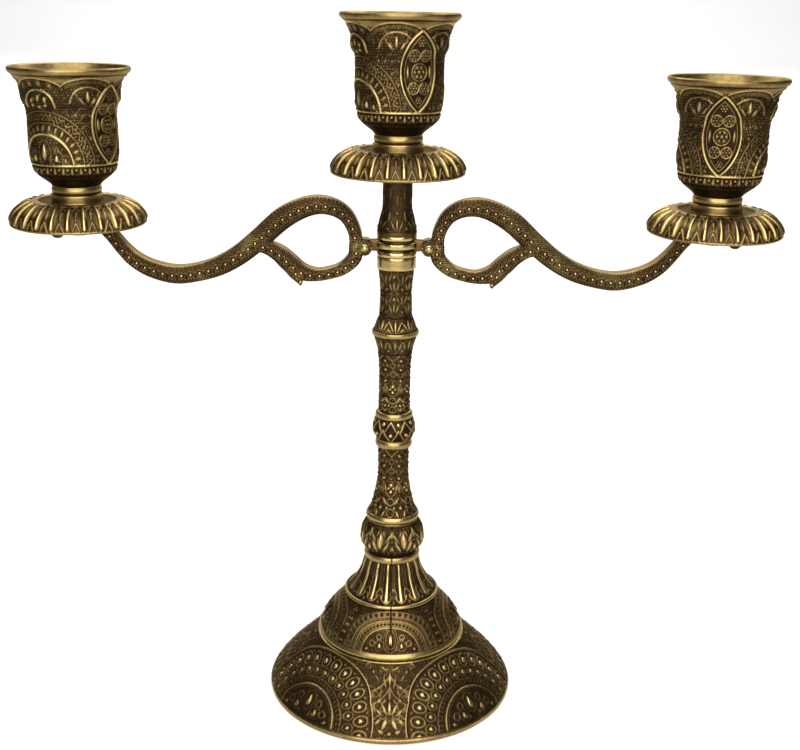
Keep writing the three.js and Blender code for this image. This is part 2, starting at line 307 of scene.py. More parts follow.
def palmette(u, v):
    """The palmette between two medallions: crossed arches over a lily on the rim."""
    w = np.abs(u)
    return most(
        hoop(w - 11.5, v - 28.5, 12.6, 0.32, 0.42),
        hoop(w - 12.0, v - 23.6, 12.9, 0.32, 0.40),
        hoop(w + 5.0, v - 15.5, 8.6, 0.28, 0.34),
        motif(w, v, [
            (leaf, 2.5, 25.6, 3.6, 0.5, 62, 0.42), (leaf, 4.9, 22.0, 3.4, 0.55, 38, 0.42),
            (leaf, 3.3, 16.4, 3.6, 0.5, -34, 0.4), (drop, 6.9, 9.6, 2.6, 0.65, 25, 0.42),
            (leaf, 6.6, 15.6, 3.4, 0.5, 8, 0.36), (ring, 8.3, 26.0, 0.9, 0.28, 0.34),
            (bead, 7.6, 12.4, 0.5, 0.4), (bead, 2.0, 22.9, 0.45, 0.36),
            (ring, 2.4, 8.4, 1.3, 0.3, 0.32), (leaf, 5.6, 11.0, 4.6, 0.6, 12, 0.4),
            (drop, 2.0, 13.4, 2.6, 0.7, 150, 0.42), (ring, 6.6, 5.0, 1.3, 0.3, 0.34),
            (bead, 6.6, 5.0, 0.6, 0.5), (bead, 1.1, 25.2, 0.55, 0.4),
            (leaf, 0, 21.6, 6.5, 0.75, 0, 0.5), (leaf, 1.9, 20.4, 6.0, 0.65, 14, 0.42),
            (leaf, 0, 15.8, 5.0, 0.8, 0, 0.4), (bead, 4.2, 18.3, 0.7, 0.5),
            (bead, 4.0, 13.6, 0.7, 0.5), (bead, 6.3, 24.0, 0.75, 0.45),
            (bead, 3.6, 24.6, 0.6, 0.4), (ring, 5.2, 15.9, 1.0, 0.3, 0.3),
            (leaf, 0, 11.2, 5.6, 0.9, 0, 0.55), (leaf, 1.9, 10.6, 5.2, 0.8, 24, 0.5),
            (leaf, 3.8, 9.4, 4.6, 0.7, 48, 0.45), (leaf, 1.7, 5.2, 5.4, 1.0, -20, 0.5),
            (leaf, 4.0, 6.0, 3.6, 0.8, -42, 0.45), (drop, 3.0, 2.4, 3.0, 0.95, 60, 0.46),
            (bead, 0, 1.7, 0.9, 0.46), (bead, 5.3, 2.2, 0.6, 0.4),
        ]),
        hoop(w - 10.5, v - 12.0, 7.4, 0.3, 0.34),
    )


def lower_dome_relief(angle, radius, along, height):
    """Relief of the lower dome, in mm."""
    v = along - 2.0
    reach = np.minimum(radius, 41.3 - 0.2 * v)
    near = fold(angle, math.pi / 2, math.pi / 4) * reach
    between = fold(angle, math.pi / 2, 0) * reach
    fill = grains(angle, along, 216, 0.9, 0.36)
    inside = np.hypot(near, v) < MEDALLION + 0.5
    leafy = most(palmette(between, v) * 0.88, fill * 0.8)
    field = np.where(inside, half_medallion(near, v, fill), leafy)
    field = field - 0.26
    rim = 0.22 - 0.3 * ridge(along - 2.0, 0.4, 1)
    carved = (along > 2.2) & (along < 29.2)
    return np.where(carved, field, rim)


NOISE_GRIT = 0.55


class Tone:
    """A value that varies over the surface; arithmetic on tones becomes Math nodes."""

    def __init__(self, tree, socket=None):
        self.tree = tree
        self.socket = socket

    def node(self, kind, settings, inputs, output=0):
        """Adds a node: its settings first, then the values or links of its sockets."""
        made = self.tree.nodes.new(kind)
        for name, value in settings.items():
            if name == "stops":
                ramp = made.color_ramp
                while len(ramp.elements) < len(value):
                    ramp.elements.new(0.5)
                for element, (position, colour) in zip(ramp.elements, value):
                    element.position = position
                    element.color = (*colour, 1)
            else:
                setattr(made, name, value)
        for name, value in inputs.items():
            if isinstance(value, Tone):
                self.tree.links.new(value.socket, made.inputs[name])
            else:
                made.inputs[name].default_value = value
        return Tone(self.tree, made.outputs[output])

    def combine(self, operation, first, second):
        """The two values put together by one Math operation."""
        return self.node("ShaderNodeMath", {"operation": operation}, {0: first, 1: second})

    def __add__(self, other):
        return self.combine("ADD", self, other)

    __radd__ = __add__

    def __sub__(self, other):
        return self.combine("SUBTRACT", self, other)

    def __rsub__(self, other):
        return self.combine("SUBTRACT", other, self)

    def __mul__(self, other):
        return self.combine("MULTIPLY", self, other)

    def feed(self, shader, name):
        """Links this value to one of the shader's inputs."""
        self.tree.links.new(self.socket, shader.inputs[name])

    def clamped(self):
        return self.node("ShaderNodeClamp", {}, {"Value": self, "Min": 0.0, "Max": 1.0})

    def blend(self, colour, other):
        """Mixes from a colour to another by this tone."""
        mix = {"data_type": "RGBA", "clamp_factor": True}
        ends = [c if isinstance(c, Tone) else (*c, 1) for c in (colour, other)]
        return self.node("ShaderNodeMix", mix, {0: self, 6: ends[0], 7: ends[1]}, 2)

    def noise(self, place, scale, detail):
        values = {"Vector": place, "Scale": scale, "Detail": detail, "Roughness": NOISE_GRIT}
        return self.node("ShaderNodeTexNoise", {}, values, 0)


def roughen(shader, height, strength, distance):
    """Fine bumps over a surface, from a varying height."""
    bump = {"Strength": strength, "Distance": distance, "Height": height}
    height.node("ShaderNodeBump", {}, bump).feed(shader, "Normal")


def new_finish(name):
    """An empty material: its shader, its tones, and the object's own coordinates."""
    finish = bpy.data.materials.new(name)
    finish.use_nodes = True
    tree = finish.node_tree
    shader = tree.nodes["Principled BSDF"]
    tone = Tone(tree)
    place = tone.node("ShaderNodeTexCoord", {}, {}, 3)
    return finish, shader, tone, place


HOLLOW_BROWN = (0.019, 0.0108, 0.0050)
DEEP_BROWN = (0.040, 0.025, 0.0105)
SKIN_BROWN = (0.118, 0.076, 0.029)
RUBBED_BRASS = (0.330, 0.235, 0.090)
BRIGHT_BRASS = (0.560, 0.420, 0.170)
WARM_EDGE = (0.82, 0.73, 0.60)


def cast_brass(name):
    """Antiqued cast brass: near black in the hollows, brown between, rubbed bright on top."""
    finish, shader, tone, place = new_finish(name)
    relief = tone.node("ShaderNodeAttribute", {"attribute_name": "relief"}, {}, 2)
    patches = tone.noise(place, 110.0, 3.0)
    mottle = tone.noise(place, 620.0, 4.0)
    speck = tone.noise(place, 2600.0, 2.0)
    # The relief attribute is rubbed wear, except on the arm-end knobs, where it holds painted shade.
    rubbed = relief + (patches - 0.5) * 0.34 + (mottle - 0.5) * 0.30 + (speck - 0.5) * 0.14
    rubbed = rubbed.clamped()
    stops = [
        (0.0, HOLLOW_BROWN),
        (0.28, DEEP_BROWN),
        (0.54, SKIN_BROWN),
        (0.82, RUBBED_BRASS),
        (1.0, BRIGHT_BRASS),
    ]
    colour = tone.node("ShaderNodeValToRGB", {"stops": stops}, {"Fac": rubbed})
    green = ((patches - 0.56) * 5.0).clamped() * 0.22
    colour = green.blend(colour, (0.20, 0.185, 0.065))
    colour.feed(shader, "Base Color")
    rough = 0.56 - rubbed * 0.32 + (mottle - 0.5) * 0.14
    rough.clamped().feed(shader, "Roughness")
    metal = (0.94 + rubbed * 0.3).clamped()
    metal.feed(shader, "Metallic")
    shader.inputs["Specular Tint"].default_value = (*WARM_EDGE, 1)
    grain = mottle * 0.6 + speck * 0.4
    roughen(shader, grain, 0.22, 0.00012)
    return finish


FINISHES = {"antique_brass": cast_brass("antique_brass")}


def finish_piece(piece, slot, body, *nodes):
    """Gives a piece its finish, its slot and its body, and hides the nodes it stands for."""
    piece.data.materials.clear()
    piece.data.materials.append(FINISHES[slot])
    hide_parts(*nodes)
    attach(piece, body)


lower_dome = turned_casting(
    "foot_lower_dome", LOWER_HIDDEN, LOWER_OUTER, 880, 0.29, lower_dome_relief
)
finish_piece(lower_dome, "antique_brass", "stand", "base_lower_dome")


# --- Upper dome of the foot ---
# A smaller cast dome seated on the first, with a plain rolled ring round its foot. Four
# sets of nested arches with rayed bands stand on the ring, and loose beads fill between.

UPPER_OUTER = [
    (27.2, 22.5), (27.9, 23.1), (27.95, 23.8), (27.4, 24.7), (26.3, 27.8), (24.6, 30.6),
    (22, 33.6), (19.2, 36.6), (17.6, 38.3),
]
UPPER_HIDDEN = [(14.6, 38.3), (16.6, 35.6), (21.8, 29.6), (24.2, 25), (24.4, 22.5)]


def seam_distance(angle, radius):
    """How far a point is from the parting line of the two-part mould."""
    return np.abs(fold(angle, math.pi, 0.0)) * radius


def nested_arches(u, v, fill):
    """One set of nested arches: u across from its axis, v up from the ring."""
    w = np.abs(u)
    far = np.hypot(w, v * 1.13)
    turn = np.degrees(np.arctan2(v, u))
    rays = np.radians(fold(turn, 7.5, 3.75))
    wide = np.radians(fold(turn, 9, 4.5))
    return most(
        ridge(far - 11.0, 0.34, 0.42),
        ridge(far - 14.2, 0.30, 0.42),
        ridge(far - 15.0, 0.22, 0.3),
        within(v < 13, ridge(far - 18.6, 0.28, 0.34)),
        within(np.abs(far - 12.6) < 1.4, 0.3 - spot(rays * far, far - 12.7, 0.5, 0.36)),
        within(np.abs(far - 16.9) < 1.5, 0.30 - spot(wide * 17, (far - 17.0) * 0.7, 0.62, 0.42)),
        within(v < 12, spot(wide * 20, far - 20.1, 0.55, 0.42)),
        fill * 0.8,
        within(far < 10.6, most(
            motif(w, v, [
                (drop, 0, 5.3, 5.2, 0.85, 0, 0.66), (drop, 4.2, 3.0, 2.5, 0.85, 0, 0.6),
                (ring, 4.4, 6.1, 0.95, 0.34, 0.36), (ring, 7.1, 3.6, 1.0, 0.36, 0.36),
                (bead, 9.0, 1.3, 0.6, 0.5), (bead, 2.0, 1.4, 0.45, 0.35),
            ]),
            hoop(w * 1.9, v - 5.2, 3.5, 0.36, 0.34),
            hoop(w * 1.75, v - 5.0, 4.6, 0.3, 0.26),
            hoop((w - 4.3) * 1.1, v - 2.9, 1.95, 0.3, 0.26),
            fill * 0.5,
        )),
    )


def upper_dome_relief(angle, radius, along, height):
    """Relief of the upper dome, in mm."""
    v = along - 3.3
    u = fold(angle, math.pi / 2, 0) * np.minimum(radius, 26)
    corner = np.abs(fold(angle, math.pi / 2, math.pi / 4)) * radius
    fill = grains(angle, along, 168, 0.8, 0.36)
    dots = most(
        motif(corner, v, [
            (bead, 1.6, 13.6, 0.62, 0.55), (bead, 1.5, 11.6, 0.6, 0.5),
            (bead, 3.9, 12.4, 0.55, 0.45), (bead, 0, 9.6, 0.6, 0.5), (bead, 6.0, 14.6, 0.5, 0.42),
            (bead, 5.6, 12.2, 0.45, 0.4), (ring, 0, 13.0, 0.9, 0.26, 0.34),
            (leaf, 3.4, 10.4, 3.4, 0.6, -30, 0.36), (leaf, 0, 5.6, 5.4, 0.8, 0, 0.4),
        ]),
        ridge(np.abs(corner - 2.4), 0.32, 0.26) * (v < 8),
    )
    clear = np.hypot(u, v * 1.13) > 21.0
    field = np.where(clear, most(dots, fill), nested_arches(u, v, fill)) - 0.25
    field = field - ridge(seam_distance(angle, radius), 0.22, 0.3)
    rolled = 0.22 - 0.3 * ridge(v, 0.35, 1)
    carved = (v > 0) & (v < 16.4)
    return np.where(carved, field, rolled)


upper_dome = turned_casting(
    "foot_upper_dome", UPPER_HIDDEN, UPPER_OUTER, 704, 0.27, upper_dome_relief
)
finish_piece(upper_dome, "antique_brass", "stand", "base_upper_dome")


# --- Fluted bell and the stem castings ---
# The stem is a stack of separate hollow brass castings threaded on one steel rod and
# pulled tight from below. Each has a plain ring where it seats, turned bright, and cast
# flutes, leaves, beads or lattice between the rings.

BORE = 3.3
RIBS = 16
RIB_TURN = math.radians(-7.5)


def bell_relief(angle, radius, along, height):
    """Sixteen ribs that spread into arches over the foot ring."""
    pitch = math.tau / RIBS
    down = np.clip((53.2 - height) / 12.5, 0, 1)
    u = fold(angle, pitch, RIB_TURN) * radius
    gap = fold(angle, pitch, RIB_TURN + pitch / 2) * radius
    rib = ridge(u, 0.52 + 0.62 * down**2, 0.62) * np.clip((height - 40.6) / 0.5, 0, 1)
    loop = hoop(u, (height - 42.4) * 1.25, 2.15, 0.36, 0.42) * (height < 43)
    thin = ridge(np.abs(gap) - 0.62, 0.27, 0.24) * (height > 43.6)
    arch = hoop(gap, (height - 42.2) * 0.55, 1.35, 0.33, 0.36) * (height > 41.6)
    dot = spot(gap, (height - 40.9) * 1.3, 0.5, 0.4)
    field = most(rib, loop, thin, arch, dot, 0.12 * np.ones_like(rib) * (np.abs(gap) < 0.5)) - 0.26
    band = (height > 40.0) & (height < 53.4) & (along > 2)
    return np.where(band, field, 0.22) - ridge(seam_distance(angle, radius), 0.2, 0.3)


BELL = [
    (17.2, 38.6), (17.8, 38.8), (17.95, 39.3), (17.5, 39.9), (15.6, 41.3), (14, 43.4),
    (12.6, 45.8), (11.4, 48.6), (10.6, 51.6), (9.9, 53.6), (10.3, 54.1), (10.45, 55), (10.2, 56),
    (9.4, 56.4),
]


def bulb_relief(angle, radius, along, height):
    """Two crossing rows of pointed leaves with beads between them."""
    pitch = math.tau / 8
    u = fold(angle, pitch, pitch / 2) * radius
    w = np.abs(u)
    half = np.abs(fold(angle, pitch, 0)) * radius
    field = most(
        motif(w, height, [
            (leaf, 0, 63.6, 8.6, 1.5, 0, 0.5), (leaf, 0, 63.6, 7.2, 0.55, 0, 0.75),
            (leaf, 2.3, 61.6, 7.4, 0.72, 26, 0.55), (leaf, 3.0, 65.0, 5.6, 0.62, 32, 0.48),
            (bead, 1.6, 58.9, 0.5, 0.4), (leaf, 1.2, 66.6, 3.4, 0.45, -24, 0.42),
        ]),
        motif(half, height, [
            (leaf, 0, 66.4, 4.4, 0.8, 0, 0.55), (drop, 0, 60.8, 3.6, 0.9, 0, 0.6),
            (bead, 0, 63.7, 0.55, 0.45), (ring, 0, 60.6, 1.8, 0.3, 0.3),
            (leaf, 1.2, 58.8, 2.6, 0.5, 30, 0.4),
        ]),
        grains(angle, height, 84, 0.8, 0.32),
    ) - 0.26
    band = (height > 58.1) & (height < 69.2)
    field = field - ridge(seam_distance(angle, radius), 0.22, 0.3)
    return np.where(band, field, np.where(height < 58.1, -0.2, 0.1))


BULB = [
    (9.8, 56.7), (10.8, 58), (11.8, 60.2), (12.05, 62.4), (11.7, 65), (10.9, 67.3), (9.6, 69.1),
    (9.3, 69.9),
]
TRAIL_TURN = math.radians(-7)


def flower_trail(angle, radius, height, top, stretch=1.0):
    """The trailing flower pattern of the shafts: bead columns, diamonds and wire loops."""
    pitch = math.tau / 6
    u = fold(angle, pitch, TRAIL_TURN) * radius
    w = np.abs(u)
    col = np.abs(fold(angle, pitch, TRAIL_TURN + pitch / 2)) * radius
    v = (top - height) / stretch
    rows = []
    for row in (2.8, 6.8, 11.7):
        rows.append(spot(col, v - row, 0.66, 0.55))
        rows.append(spot(u, v - row - 0.2, 0.48, 0.4))
        rows.append(hoop(u, (v - row - 2.2) * 0.9, 0.95, 0.3, 0.3))
    return most(
        *rows,
        motif(w, v, [
            (stroke, (0.2, 4.2), (2.6, 5.0), 0.3, 0.3), (stroke, (0.3, 9.4), (2.5, 8.6), 0.3, 0.3),
            (bead, 0, 14.2, 0.75, 0.6), (bead, 0.95, 15.5, 0.6, 0.55), (bead, 0, 16.8, 0.75, 0.6),
            (leaf, 2.2, 15.4, 4.4, 0.55, -14, 0.42), (ring, 0.0, 20.6, 1.3, 0.33, 0.4),
            (leaf, 2.3, 20.4, 4.2, 0.62, -32, 0.48), (bead, 1.5, 22.8, 0.65, 0.5),
            (ring, 0.0, 24.6, 1.4, 0.33, 0.36), (leaf, 2.9, 25.0, 3.8, 0.6, 34, 0.45),
            (stroke, (2.6, 0.4), (0.4, 2.6), 0.3, 0.36),
            (stroke, (2.8, 10.4), (0.6, 7.6), 0.28, 0.34),
            (stroke, (2.4, 13.4), (0.5, 11.2), 0.28, 0.34),
            (stroke, (0.4, 18.6), (2.4, 17.0), 0.3, 0.36),
        ]),
        motif(col, v, [
            (leaf, 0, 15.8, 4.2, 0.7, 0, 0.42), (ring, 0, 20.4, 0.95, 0.3, 0.3),
            (bead, 0, 22.9, 0.75, 0.55), (leaf, 0.9, 4.8, 3.0, 0.42, 20, 0.36),
            (leaf, 0.9, 9.2, 3.0, 0.42, -20, 0.36), (leaf, 0, 13.6, 2.4, 0.5, 0, 0.4),
        ]),
        grains(angle, height, 50, 0.75, 0.34),
    )


def vase_relief(angle, radius, along, height):
    """The tapering vase, all flower trail above its plain ring."""
    field = flower_trail(angle, radius, height, 98.8) - 0.25
    return np.where(height > 72.3, field, 0.22)


VASE = [
    (9.6, 70.2), (9.85, 70.7), (9.85, 71.4), (9.5, 72.1), (8.3, 74.4), (7.5, 77.2), (6.6, 81.4),
    (5.9, 85.4), (5.7, 90), (5.75, 98.6),
]


def knop_relief(angle, radius, along, height):
    """A zigzag wire with a bead in each of its hollows."""
    pitch = math.tau / 8
    u = fold(angle, pitch, math.radians(-9)) * radius
    w = np.abs(u)
    side = np.abs(fold(angle, pitch, math.radians(-9) + pitch / 2)) * radius
    field = most(
        motif(w, height, [
            (stroke, (0.0, 109.9), (2.4, 106.2), 0.42, 0.5), (bead, 0, 104.9, 0.9, 0.7),
            (ring, 0, 104.9, 1.5, 0.25, 0.2),
        ]),
        motif(side, height, [
            (stroke, (0.0, 106.8), (2.2, 102.6), 0.42, 0.5), (bead, 0, 109.0, 0.85, 0.7),
            (ring, 0, 109.0, 1.4, 0.25, 0.2),
        ]),
    ) - 0.28
    band = (height > 102.0) & (height < 110.6)
    return np.where(band, field, 0.2)


KNOP = [
    (6.2, 98.9), (6.6, 99.5), (6.65, 100.6), (6.3, 101.6), (7, 102.9), (7.7, 104.8), (7.8, 106.2),
    (7.6, 107.8), (6.9, 109.8), (6.75, 110.6), (6.6, 112), (6.1, 112.6),
]


def mid_shaft_relief(angle, radius, along, height):
    """The middle shaft, cast with the same trail as the vase."""
    return flower_trail(angle, radius, height, 135.6, 0.86) - 0.25


MID_SHAFT = [(5.8, 112.9), (5.7, 118), (5.75, 128), (5.95, 132.6), (6.3, 135.4)]


def collar_relief(angle, radius, along, height):
    """Fans of leaves below and above one sharp plain ring."""
    pitch = math.tau / 8
    w = np.abs(fold(angle, pitch, 0)) * radius
    side = np.abs(fold(angle, pitch, pitch / 2)) * radius
    field = most(
        motif(w, height, [
            (leaf, 0, 146.4, 5.0, 0.6, 0, 0.5), (leaf, 1.5, 146.2, 4.6, 0.5, 24, 0.45),
            (leaf, 2.6, 145.2, 3.2, 0.45, 44, 0.4), (leaf, 0, 139.4, 4.6, 0.6, 0, 0.45),
            (leaf, 1.9, 139.0, 4.2, 0.5, 20, 0.4),
        ]),
        motif(side, height, [
            (bead, 0, 147.6, 0.5, 0.45), (bead, 0, 145.0, 0.5, 0.4), (bead, 0, 140.4, 0.5, 0.42),
            (bead, 0, 137.2, 0.6, 0.42),
        ]),
        grains(angle, height, 54, 0.75, 0.34),
    ) - 0.25
    ringed = (height > 142.3) & (height < 143.8)
    return np.where(ringed, 0.2, field)


COLLAR = [
    (6.4, 135.7), (6.9, 138.8), (7.6, 140.9), (8.2, 142.2), (8.35, 142.6), (8.35, 143.4),
    (8.15, 143.9), (7.6, 144.8), (6.8, 146.8), (6.2, 149),
]


def upper_shaft_relief(angle, radius, along, height):
    """Upright sprigs and beads on the upper shaft."""
    pitch = math.tau / 6
    w = np.abs(fold(angle, pitch, TRAIL_TURN)) * radius
    side = np.abs(fold(angle, pitch, TRAIL_TURN + pitch / 2)) * radius
    rows = []
    for low in (150.4, 158.6):
        rows.append(leaf(w, height, 0, low + 2.6, 4.4, 0.5, 0, 0.45))
        rows.append(leaf(w, height, 1.3, low + 2.2, 4.2, 0.42, 20, 0.4))
        rows.append(leaf(w, height, 1.5, low + 5.6, 3.8, 0.42, -24, 0.38))
        rows.append(bead(w, height, 0, low + 5.9, 0.6, 0.52))
        rows.append(bead(side, height, 0, low + 1.2, 0.5, 0.42))
        rows.append(leaf(side, height, 0, low + 5.0, 4.6, 0.5, 0, 0.36))
        rows.append(bead(w, height, 1.2, low + 7.9, 0.45, 0.4))
    return most(*rows, grains(angle, height, 50, 0.75, 0.34)) - 0.25


UPPER_SHAFT = [(6.1, 149.3), (5.8, 153.4), (5.8, 159.6), (6.1, 163.4), (6.5, 166.3)]


def top_relief(angle, radius, along, height):
    """The short neck above the arms: low sprigs, worn nearly smooth."""
    pitch = math.tau / 6
    w = np.abs(fold(angle, pitch, 0)) * radius
    side = np.abs(fold(angle, pitch, pitch / 2)) * radius
    field = most(
        motif(w, height, [
            (leaf, 0, 183.6, 4.4, 0.55, 0, 0.36), (leaf, 1.7, 183.2, 4.2, 0.45, 26, 0.32),
            (bead, 0, 187.3, 0.55, 0.34), (leaf, 0, 191.6, 5.2, 0.45, 0, 0.24),
        ]),
        motif(side, height, [
            (bead, 0, 182.0, 0.5, 0.3), (leaf, 0, 186.2, 4.6, 0.5, 0, 0.28),
            (leaf, 0, 194.0, 5.2, 0.45, 0, 0.22),
        ]),
        grains(angle, height, 46, 0.75, 0.22),
    ) - 0.2
    return np.where(height > 180.6, field, -0.02)


TOP = [(6.9, 178.7), (7.15, 179.6), (7.1, 181.2), (6.4, 184.2), (5.5, 187.6), (5.3, 192), (5.3, 202.4)]

# Piece, node, outline, sides, spacing, relief, and the bore at its foot and its top.
STEM = [
    ("bell", "fluted_bell", BELL, 512, 0.26, bell_relief, 15.5, 7.5),
    ("bulb", "stem_bulb", BULB, 336, 0.22, bulb_relief, BORE, BORE),
    ("vase", "stem_vase", VASE, 304, 0.22, vase_relief, BORE, BORE),
    ("knop", "stem_knop", KNOP, 288, 0.2, knop_relief, BORE, BORE),
    ("mid_shaft", "stem_mid_shaft", MID_SHAFT, 240, 0.2, mid_shaft_relief, BORE, BORE),
    ("collar", "stem_collar", COLLAR, 256, 0.2, collar_relief, BORE, BORE),
    ("upper_shaft", "stem_upper_shaft", UPPER_SHAFT, 240, 0.2, upper_shaft_relief, BORE, BORE),
    ("neck", "stem_top", TOP, 240, 0.22, top_relief, BORE, BORE),
]
for part, node, shown, sides, spacing, relief, low_bore, high_bore in STEM:
    bored = [(high_bore, shown[-1][1]), (low_bore, shown[0][1])]
    casting = turned_casting("cast_" + part, bored, shown, sides, spacing, relief)
    finish_piece(casting, "antique_brass", "stand", node)


# --- Ferrule, arm hub and rivets ---
# Plain turned brass: a short ferrule, and the hub above it that both arms are riveted
# to. These are left smooth, with lathe lines and darkened grooves.

PLAIN_RUB = 0.78
PLAIN_DARK = (0.115, 0.074, 0.03)
PLAIN_BRASS = (0.46, 0.335, 0.135)


def turned_brass(name):
    """Smooth turned brass with an aged skin, darker where the relief is low."""
    finish, shader, tone, place = new_finish(name)
    relief = tone.node("ShaderNodeAttribute", {"attribute_name": "relief"}, {}, 2)
    patches = tone.noise(place, 140.0, 3.0)
    mottle = tone.noise(place, 900.0, 3.0)
    clean = (relief + (patches - 0.5) * 0.5 + (mottle - 0.5) * 0.25).clamped()
    stops = [(0.0, HOLLOW_BROWN), (0.4, PLAIN_DARK), (0.8, PLAIN_BRASS), (1.0, BRIGHT_BRASS)]
    colour = tone.node("ShaderNodeValToRGB", {"stops": stops}, {"Fac": clean})
    colour.feed(shader, "Base Color")
    shader.inputs["Metallic"].default_value = 1.0
    rough = 0.34 - clean * 0.18 + (mottle - 0.5) * 0.10
    rough.clamped().feed(shader, "Roughness")
    stretched = tone.node(
        "ShaderNodeMapping", {}, {"Vector": place, "Scale": (60.0, 60.0, 2400.0)}
    )
    lathe = tone.noise(stretched, 1.0, 2.0)
    roughen(shader, lathe, 0.10, 0.00005)
    return finish


FINISHES["plain_brass"] = turned_brass("plain_brass")


def plain_relief(angle, radius, along, height):
    """No relief: a plain turned surface."""
    return np.zeros_like(angle)


def plain_tint(angle, radius, along, raised):
    """Bright all over."""
    return np.full_like(angle, PLAIN_RUB)


ferrule = turned_casting(
    "stem_ferrule_band", [(BORE, 171.3), (BORE, 166.6)],
    [(6.6, 166.6), (7.0, 166.9), (7.1, 167.4), (7.12, 169.2), (7.1, 170.9), (6.9, 171.3)],
    208, 0.3, plain_relief, plain_tint,
)
finish_piece(ferrule, "plain_brass", "stand", "stem_ferrule")

HUB = [
    (6.4, 171.3), (6.9, 171.4), (7.15, 171.8), (7.2, 172.6), (7.0, 173.2), (6.5, 173.5),
    (6.45, 174.0), (6.85, 174.3), (7.2, 174.8), (7.25, 175.4), (7.2, 176.0), (6.85, 176.4),
    (6.45, 176.6), (6.5, 177.2), (6.95, 177.5), (7.2, 177.9), (7.2, 178.7), (6.95, 179.1), (6.4, 179.2),
]


def hub_tint(angle, radius, along, raised):
    """Bright on the three rings, dark in the two grooves between them."""
    return np.clip((radius - 6.35) * 1.1, 0.1, 0.85)


hub = turned_casting(
    "arm_hub_rings", [(BORE, 179.2), (BORE, 171.3)], HUB, 240, 0.18, plain_relief, hub_tint
)
TONGUE = (7.6 * MM, 2.2 * MM, 4.6 * MM)
TONGUE_REACH = 9.2
TONGUE_LEVEL = 175
TONGUE_RUB = 0.3
tongues = bmesh.new()
for side in (-1, 1):
    made = bmesh.ops.create_cube(tongues, size=1.0)["verts"]
    bmesh.ops.scale(tongues, vec=TONGUE, verts=made)
    thin_end = [v for v in made if v.co.x * side > 0]
    bmesh.ops.scale(tongues, vec=(1, 0.85, 0.82), verts=thin_end)
    bmesh.ops.translate(tongues, vec=(side * TONGUE_REACH * MM, 0, TONGUE_LEVEL * MM), verts=made)
bmesh.ops.bevel(
    tongues, geom=tongues.edges[:], offset=0.4 * MM, segments=3, profile=0.5, affect="EDGES",
    material=-1,
)
tongue_piece = add_mesh("arm_hub_tongues", tongues)
keep_relief(tongue_piece.data, np.full(len(tongue_piece.data.vertices), TONGUE_RUB))
finish_piece(hub, "plain_brass", "arm_frame", "arm_hub")
finish_piece(tongue_piece, "plain_brass", "arm_frame")

RIVET_HEAD = [(0, 3.95), (0.5, 3.86), (0.85, 3.6), (1.0, 3.3), (1.25, 3.22), (1.32, 3.05), (1.3, 2.7)]
RIVET_REACH = 11.4
RIVET_LEVEL = 174.3
RIVET_RUB = 0.95
rivets = bmesh.new()
for side in (-1, 1):
    for face in (-1, 1):
        middle = Vector((side * RIVET_REACH * MM, 0, RIVET_LEVEL * MM))
        edge = smooth_outline(RIVET_HEAD, 0.15)
        line = [rivets.verts.new(middle + Vector((r * MM, face * y * MM, 0))) for r, y in edge]
        links = [rivets.edges.new((line[i - 1], line[i])) for i in range(1, len(line))]
        bmesh.ops.spin(
            rivets, geom=line + links, cent=middle, axis=(0, 1, 0), angle=math.tau, steps=32
        )
bmesh.ops.remove_doubles(rivets, verts=rivets.verts, dist=1e-7)
bmesh.ops.holes_fill(rivets, edges=[e for e in rivets.edges if e.is_boundary], sides=0)
bmesh.ops.recalc_face_normals(rivets, faces=rivets.faces)
rivet_piece = add_mesh("arm_rivet_heads", rivets)
keep_relief(rivet_piece.data, np.full(len(rivet_piece.data.vertices), RIVET_RUB))
finish_piece(rivet_piece, "plain_brass", "arm_frame", "arm_rivet_left", "arm_rivet_right")


# --- The two arms ---
# Each arm is one flat brass casting: a long bar that rises from the hub, loops over and
# sweeps out to the pan, with a lower bar and a pointed leaf that close the loop. The
# sides are plain and rubbed; the sunk faces carry rows of beads and slanting lines.

MAIN_BAR = [
    (14.4, 174.6, 2.2), (15.1, 180, 2.15), (18, 185.4, 2.35), (22.6, 188.3, 2.7),
    (28.3, 189.1, 3.0), (34.4, 187.5, 3.3), (41.2, 183.6, 3.6), (49.2, 176.4, 3.5),
    (56.1, 170.8, 3.3), (63.4, 166.6, 3.1), (71.3, 164.1, 2.9), (79.2, 163.2, 2.9),
    (87.3, 165, 2.7), (93.2, 168.1, 2.4), (97.4, 172.1, 2.1), (101.2, 176.8, 1.9),
    (105, 180.3, 1.6), (108.6, 181.7, 1.2), (113, 181.75, 1.1), (117.4, 181.7, 1.1),
    (120.4, 180, 1.2),
]
LOWER_BAR = [
    (14.4, 175.6, 2.4), (15, 170.6, 2.4), (18.6, 166.8, 2.1), (22.6, 165, 1.9),
    (28.5, 163.9, 2.0), (34.2, 165.0, 2.7), (38.4, 168.2, 3.0), (42, 171.4, 2.7),
    (46.2, 173.6, 2.2), (50.5, 174.6, 2.2),
]
LEAF_TIP = [(38.2, 166.8, 2.2), (36.2, 164.2, 2.0), (34.8, 161.9, 1.2), (34.2, 160.2, 0.35)]
LUG = [(9.0, 174.5, 1.5), (10.0, 174.5, 2.5), (11.5, 174.4, 2.9), (13.2, 174.5, 2.5), (15.5, 174.6, 2.1)]
ARM_HALF_DEPTH = 3.0
ARM_SWELL = 1.06
SIDE_RUB = 0.66
# The knob at each arm's end sits under a pan and is painted dark as the shade that pan casts.
TIP_PAINTED_SHADE = 0.18
BEAD_STEP = 3.3
TIP_REACH = 120.9
TIP_WIDEST = TIP_REACH / 40
TIP_KNOB = [
    (0, 180.4), (1.1, 180.2), (1.9, 179.5), (2.35, 178.6), (2.4, 177.9), (2.2, 176.9),
    (1.6, 176.0), (0.8, 175.6), (0, 175.5),
]


